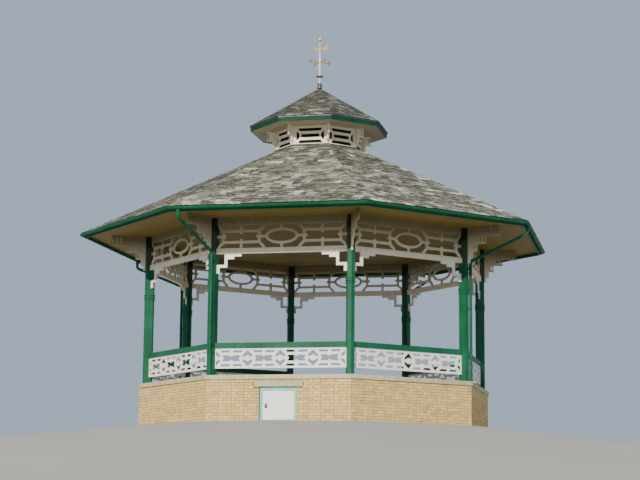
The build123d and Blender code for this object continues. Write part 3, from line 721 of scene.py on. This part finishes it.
def octagon_strip(low, high, reach):
    """The outline of a strip across the octagon between two values of y, or nothing outside it."""
    outline = [(-2 * reach, low), (2 * reach, low), (2 * reach, high), (-2 * reach, high)]
    for facet in range(SIDES):
        out = outward(facet)
        outline = clip(outline, lambda point: reach - point[0] * out.x - point[1] * out.y)
    return outline if len(outline) > 2 else []


def cross_boards(solids, reach, pitch, gap, foot, top):
    """Boards side by side across the octagon, between two levels."""
    count = round(2 * reach / pitch)
    pitch = 2 * reach / count
    for board in range(count):
        near = -reach + board * pitch + gap / 2
        outline = octagon_strip(near, near + pitch - gap, reach)
        if outline:
            solids.loft(*([Vector((x, y, level)) for x, y in outline] for level in (foot, top)))


def stage_boards():
    """Boards on joists in place of the deck's slab."""
    low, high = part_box("deck")
    reach = high.y
    board_thick, joist_pitch, joist_width = 0.028, 0.45, 0.05
    board_foot = high.z - board_thick
    solids = Solids()
    cross_boards(solids, reach, pitch=0.118, gap=0.005, foot=board_foot, top=high.z)
    axes = (Vector((1, 0, 0)), Vector((0, 1, 0)), UP)
    joists = int(reach / joist_pitch)
    for joist in range(-joists, joists + 1):
        x = joist * joist_pitch
        half = min(reach, reach * math.sqrt(2) - abs(x))
        solids.block(
            Vector((x, 0, 0)), axes, (-joist_width / 2, -half, low.z), (joist_width / 2, half, board_foot)
        )
    piece = solids.piece("stage_boards", deck_boards)
    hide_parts("deck")
    return piece


stage_boards()

BOARD_THICK = 0.007
BOARD_GAP = 0.0003  # between a matched board and the slab over it


def soffit_boards(name, node, inner, pitch, material):
    """Matched boards under a soffit, parallel to each side and mitred at the corners."""
    low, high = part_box(node)
    reach = high.y
    gap, mitre = 0.006, 0.002
    solids = Solids()
    count = max(1, round((reach - inner) / pitch))
    pitch = (reach - inner) / count
    for facet in range(SIDES):
        out, right = outward(facet), rightward(facet)
        for board in range(count):
            far = inner + (board + 1) * pitch - gap / 2
            near = inner + board * pitch + gap / 2
            outline = [(-far, far), (far, far), (near, near), (-near, near)]
            ring = [out * y + right * (x * SLANT - math.copysign(mitre, x)) for x, y in outline]
            levels = (low.z - BOARD_THICK, low.z - BOARD_GAP)
            solids.loft(*([point + UP * level for point in ring] for level in levels))
    return solids.piece(name, material)


bay_reach = front_half("tie_beams")
lantern_reach = front_half("lantern_walls") + 0.004
soffit_boards("eave_boards", "ceiling", bay_reach - 0.02, 0.115, ceiling_boards)
soffit_boards("lantern_eave_boards", "lantern_soffit", lantern_reach, 0.1, lantern_boards)


def ceiling_field():
    """Matched boards across the ceiling inside the bays."""
    cornice = 0.16
    solids = Solids()
    cross_boards(
        solids,
        bay_reach - cornice,
        pitch=0.14,
        gap=0.007,
        foot=CEILING_FOOT - BOARD_THICK,
        top=CEILING_FOOT - BOARD_GAP,
    )
    return solids.piece("ceiling_boards", ceiling_boards)


ceiling_field()


def gutter_fittings():
    """Angle collars at the gutter's corners, unions between its lengths, and straps under it."""
    low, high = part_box("gutters")
    radius = high.z - low.z
    middle = high.x - radius
    half = middle * SLANT
    clear, arcs = 0.0006, 12
    solids = Solids()

    def band(facet, start, end, thickness):
        """A band round the gutter between two places along a side."""
        out, right = outward(facet), rightward(facet)
        centre = out * middle + UP * high.z
        turns = [math.pi + math.pi * arc / arcs for arc in range(arcs + 1)]
        ring = [(radius + clear, turn) for turn in turns]
        ring += [(radius + thickness, turn) for turn in reversed(turns)]
        outline = [
            centre + out * (reach * math.cos(turn)) + UP * (reach * math.sin(turn)) for reach, turn in ring
        ]
        solids.loft(*([point + right * place for point in outline] for place in (start, end)))

    corner_gap, collar, union, strap = 0.03, 0.11, 0.075, 0.028
    cast, rolled = 0.005, 0.004
    lengths, straps = 3, 7
    for facet in range(SIDES):
        band(facet, -half + corner_gap, -half + corner_gap + collar, cast)
        band(facet, half - corner_gap - collar, half - corner_gap, cast)
        for joint in range(1, lengths):
            place = -half + 2 * half * joint / lengths
            band(facet, place - union / 2, place + union / 2, cast)
        for number in range(straps):
            place = -half + 2 * half * (number + 0.5) / straps
            band(facet, place - strap / 2, place + strap / 2, rolled)
    return solids.piece("gutter_fittings", green_iron)


gutter_fittings()

PIPE_REACH = 3.9  # in its own direction, only a downpipe's own foot is further out than this
OFFSET_REACH = 3.0  # only a downpipe's own sloping pipe is closer to it than this
PIPE_SIDES = 20


def pipe_axes():
    """The foot of each downpipe, the radius of its sockets, and the side of the octagon to its right."""
    feet = lowest(corners("downpipes"))
    found = []
    for facet in range(0, SIDES, 2):
        bearing = (facet - 0.5) * STEP
        near = feet[feet[:, 0] * math.sin(bearing) - feet[:, 1] * math.cos(bearing) > PIPE_REACH]
        centre = (near.min(axis=0) + near.max(axis=0)) / 2
        found.append((Vector(centre), (near[:, 0].max() - near[:, 0].min()) / 2, facet))
    return found


def pipe_clips():
    """A clip with two ears round each downpipe, held to the post behind it."""
    levels = (0.62, 1.95, 3.02)
    band, band_inset, ear_share = 0.016, 0.001, 0.9
    ear_start, ear_end, ear_back, ear_face = -0.006, 0.026, -0.052, -0.044
    screw_place, screw_head, screw_radius = 0.014, 0.006, 0.007
    spacer, spacer_back, spacer_bite = 0.014, -0.061, 0.004
    solids = Solids()
    for centre, radius, facet in pipe_axes():
        out, side = outward(facet), rightward(facet)
        for level in levels:
            middle = Vector((centre.x, centre.y, centre.z + level))
            solids.tube(middle - UP * band, middle + UP * band, radius - band_inset, PIPE_SIDES)
            for hand in (-1, 1):
                edge = middle + side * (hand * radius * ear_share)
                solids.block(
                    edge, (side * hand, UP, out), (ear_start, -band, ear_back), (ear_end, band, ear_face)
                )
                head = edge + side * (hand * screw_place) + out * ear_face
                solids.tube(head, head + out * screw_head, screw_radius, 8)
            spacer_face = spacer_bite - radius
            solids.block(
                middle, (side, UP, out), (-spacer, -spacer, spacer_back), (spacer, spacer, spacer_face)
            )
    return solids.piece("pipe_clips", green_iron)


pipe_clips()


def rainwater_sockets():
    """Sockets at the gutter's outlets and at both ends of each sloping length of pipe."""
    points = corners("rainwater_offsets")
    drop, knee, bend, length = 0.19, 0.13, 0.15, 0.06
    solids = Solids()
    for centre, radius, _ in pipe_axes():
        near = points[np.hypot(points[:, 0] - centre.x, points[:, 1] - centre.y) < OFFSET_REACH]
        outlet = Vector(highest(near).mean(axis=0))
        foot = Vector(lowest(near).mean(axis=0))
        upper, lower = outlet - UP * drop, foot + UP * knee
        along = (lower - upper).normalized()
        solids.tube(outlet, outlet - UP * length, radius, PIPE_SIDES)
        for start in (upper + along * bend, lower - along * (bend + length)):
            solids.tube(start, start + along * length, radius, PIPE_SIDES)
    return solids.piece("rainwater_sockets", green_iron)


rainwater_sockets()


def beam_bolts():
    """Dome-headed bolts through the ends of the tie beams and the brackets under them."""
    low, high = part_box("tie_beams")
    half = bay_reach * SLANT
    insets, shares = (0.19, 0.3), (0.3, 0.7)
    seat, rim, crown = -0.001, 0.005, 0.009
    rim_radius, crown_radius, bolt_sides = 0.013, 0.008, 12
    solids = Solids()
    for facet in range(SIDES):
        out, right = outward(facet), rightward(facet)
        for hand in (-1, 1):
            for inset in insets:
                for share in shares:
                    z = low.z + (high.z - low.z) * share
                    head = out * (bay_reach + seat) + right * (hand * (half - inset)) + UP * z
                    solids.tube(head, head + out * rim, rim_radius, bolt_sides)
                    solids.tube(head + out * rim, head + out * crown, crown_radius, bolt_sides)
    return solids.piece("beam_bolts", eaves_paint)


beam_bolts()


def lantern_shade_sheet():
    """A near-black sheet behind the slots of the lantern: painted shade for the dark inside of the lantern.
    """
    low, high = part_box("lantern_walls")
    shell, end_gap, level_gap, thick = 0.062, 0.004, 0.002, 0.004
    reach = high.y - shell
    half = reach * SLANT - end_gap
    solids = Solids()
    for facet in range(SIDES):
        out, right = outward(facet), rightward(facet)
        solids.block(
            out * reach, (right, UP, out), (-half, low.z + level_gap, -thick), (half, high.z - level_gap, 0)
        )
    return solids.piece("lantern_shade_sheet", shade_sheet)


lantern_shade_sheet()


def door_boards():
    """Beaded boards on the hatch door, with a ring handle on a plate."""
    low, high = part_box("hatch_door")
    points = corners("hatch_door")
    leaf_left = points[:, 0].min()
    face = lowest(points, 0)[:, 1].min()
    axes = (rightward(0), UP, outward(0))
    sunk = -0.0005

    count, gap, thick, margin, bead = 8, 0.004, 0.004, 0.001, 0.0015
    pitch = -2 * leaf_left / count
    solids = Solids()
    for board in range(count):
        near = leaf_left + board * pitch + gap / 2
        far = near + pitch - gap
        solids.block(
            Vector((0, face, 0)), axes, (near, low.z + margin, sunk), (far, high.z - margin, thick), bead
        )
    boards = solids.piece("door_boards", door_paint, "door")

    from_edge, half_width, half_height, plate_thick, plate_arris = 0.09, 0.022, 0.055, 0.003, 0.001
    handle = Vector((leaf_left + from_edge, face - thick, (low.z + high.z) / 2))
    hardware = Solids()
    hardware.block(
        handle, axes, (-half_width, -half_height, sunk), (half_width, half_height, plate_thick), plate_arris
    )
    ring_radius, ring_bar, ring_drop, ring_lengths = 0.034, 0.005, 0.02, 16
    hub = handle + Vector((0, -0.012, -0.01))
    ring = []
    for length in range(ring_lengths + 1):
        turn = 2 * math.pi * length / ring_lengths
        ring.append(hub + Vector((math.cos(turn) * ring_radius, 0, math.sin(turn) * ring_radius - ring_drop)))
    for start, end in zip(ring, ring[1:]):
        hardware.tube(start, end, ring_bar, 8)
    stud_start, stud_end, stud_radius = 0.001, 0.018, 0.009
    hardware.tube(handle + outward(0) * stud_start, handle + outward(0) * stud_end, stud_radius)
    hardware_piece = hardware.piece("door_handle", iron, "door")


door_boards()

# Camera: the photograph's viewing angle, from below the level of the plinth
CAMERA_BEARING = math.radians(12.39)
CAMERA_DISTANCE = 46.83
CAMERA_HEIGHT = -2.28
CAMERA_PITCH = math.radians(9.359)
CAMERA_YAW = 0.0011
CAMERA_ROLL = 0.0091
FOCAL_PIXELS = 1655.6
IMAGE_WIDTH = 640
SENSOR = 36.0
FARTHEST_VIEW = 400

camera_data = bpy.data.cameras.new("camera")
camera_data.sensor_width = SENSOR
camera_data.lens = FOCAL_PIXELS / IMAGE_WIDTH * SENSOR
camera_data.clip_end = FARTHEST_VIEW
camera = bpy.data.objects.new("camera", camera_data)
bpy.context.scene.collection.objects.link(camera)
camera.location = (
    CAMERA_DISTANCE * math.sin(CAMERA_BEARING),
    -CAMERA_DISTANCE * math.cos(CAMERA_BEARING),
    CAMERA_HEIGHT,
)
turn = Matrix.Rotation(CAMERA_BEARING, 4, "Z") @ Matrix.Rotation(-CAMERA_YAW, 4, "Z")
tilt = Matrix.Rotation(math.radians(90) + CAMERA_PITCH, 4, "X")
roll = Matrix.Rotation(CAMERA_ROLL, 4, "Z")
camera.matrix_world = Matrix.Translation(camera.location) @ turn @ tilt @ roll
bpy.context.scene.camera = camera


def floor():
    """A pale floor, level round the plinth and falling away towards the camera."""
    level_reach, far_reach, least_reach = 5.35, 90.0, 0.5
    fall = math.tan(math.radians(6.5))
    fall_lead, fall_span = 0.45, 0.55
    rings, level_rings, spokes = 26, 5, 96
    foot = -0.002
    vertices, faces = [(0, 0, foot)], []
    for ring in range(rings):
        if ring <= level_rings:
            reach = max(level_reach * ring / level_rings, least_reach)
        else:
            share = (ring - level_rings) / (rings - level_rings - 1)
            reach = level_reach * (far_reach / level_reach) ** share
        for spoke in range(spokes):
            bearing = 2 * math.pi * spoke / spokes
            facing = math.cos(bearing - CAMERA_BEARING)
            share = min(1.0, max(0.0, (facing + fall_lead) / fall_span))
            share = share * share * (3 - 2 * share)
            drop = fall * max(0.0, reach - level_reach) * share
            vertices.append((reach * math.sin(bearing), -reach * math.cos(bearing), foot - drop))
    for spoke in range(spokes):
        after = (spoke + 1) % spokes
        faces.append((0, 1 + spoke, 1 + after))
        for ring in range(rings - 1):
            first = 1 + ring * spokes
            faces.append((first + spoke, first + spokes + spoke, first + spokes + after, first + after))
    mesh = bpy.data.meshes.new("floor")
    mesh.from_pydata(vertices, [], faces)
    for polygon in mesh.polygons:
        polygon.use_smooth = True
    ground = bpy.data.objects.new("floor", mesh)
    bpy.context.scene.collection.objects.link(ground)
    mesh.materials.append(pale_floor)


floor()


def light(name, bearing, elevation, energy, colour, size):
    """A distant lamp at a bearing from the camera's and an elevation, both in degrees."""
    data = bpy.data.lights.new(name, "SUN")
    data.energy = energy
    data.color = colour
    data.angle = math.radians(size)
    lamp = bpy.data.objects.new(name, data)
    bpy.context.scene.collection.objects.link(lamp)
    turn_to = CAMERA_BEARING + math.radians(bearing)
    lift = math.radians(elevation)
    level = math.cos(lift)
    towards = Vector((math.sin(turn_to) * level, -math.cos(turn_to) * level, math.sin(lift)))
    lamp.rotation_mode = "QUATERNION"
    lamp.rotation_quaternion = towards.to_track_quat("Z", "Y")


light("key", bearing=-16, elevation=27, energy=5.2, colour=(1.0, 0.93, 0.8), size=1.0)

SKY_COLOUR = (0.66, 0.81, 1.0)
SKY_STRENGTH = 0.62
world = bpy.data.worlds.new("studio")
bpy.context.scene.world = world
world.use_nodes = True
background = world.node_tree.nodes["Background"]
background.inputs["Color"].default_value = (*SKY_COLOUR, 1)
background.inputs["Strength"].default_value = SKY_STRENGTH
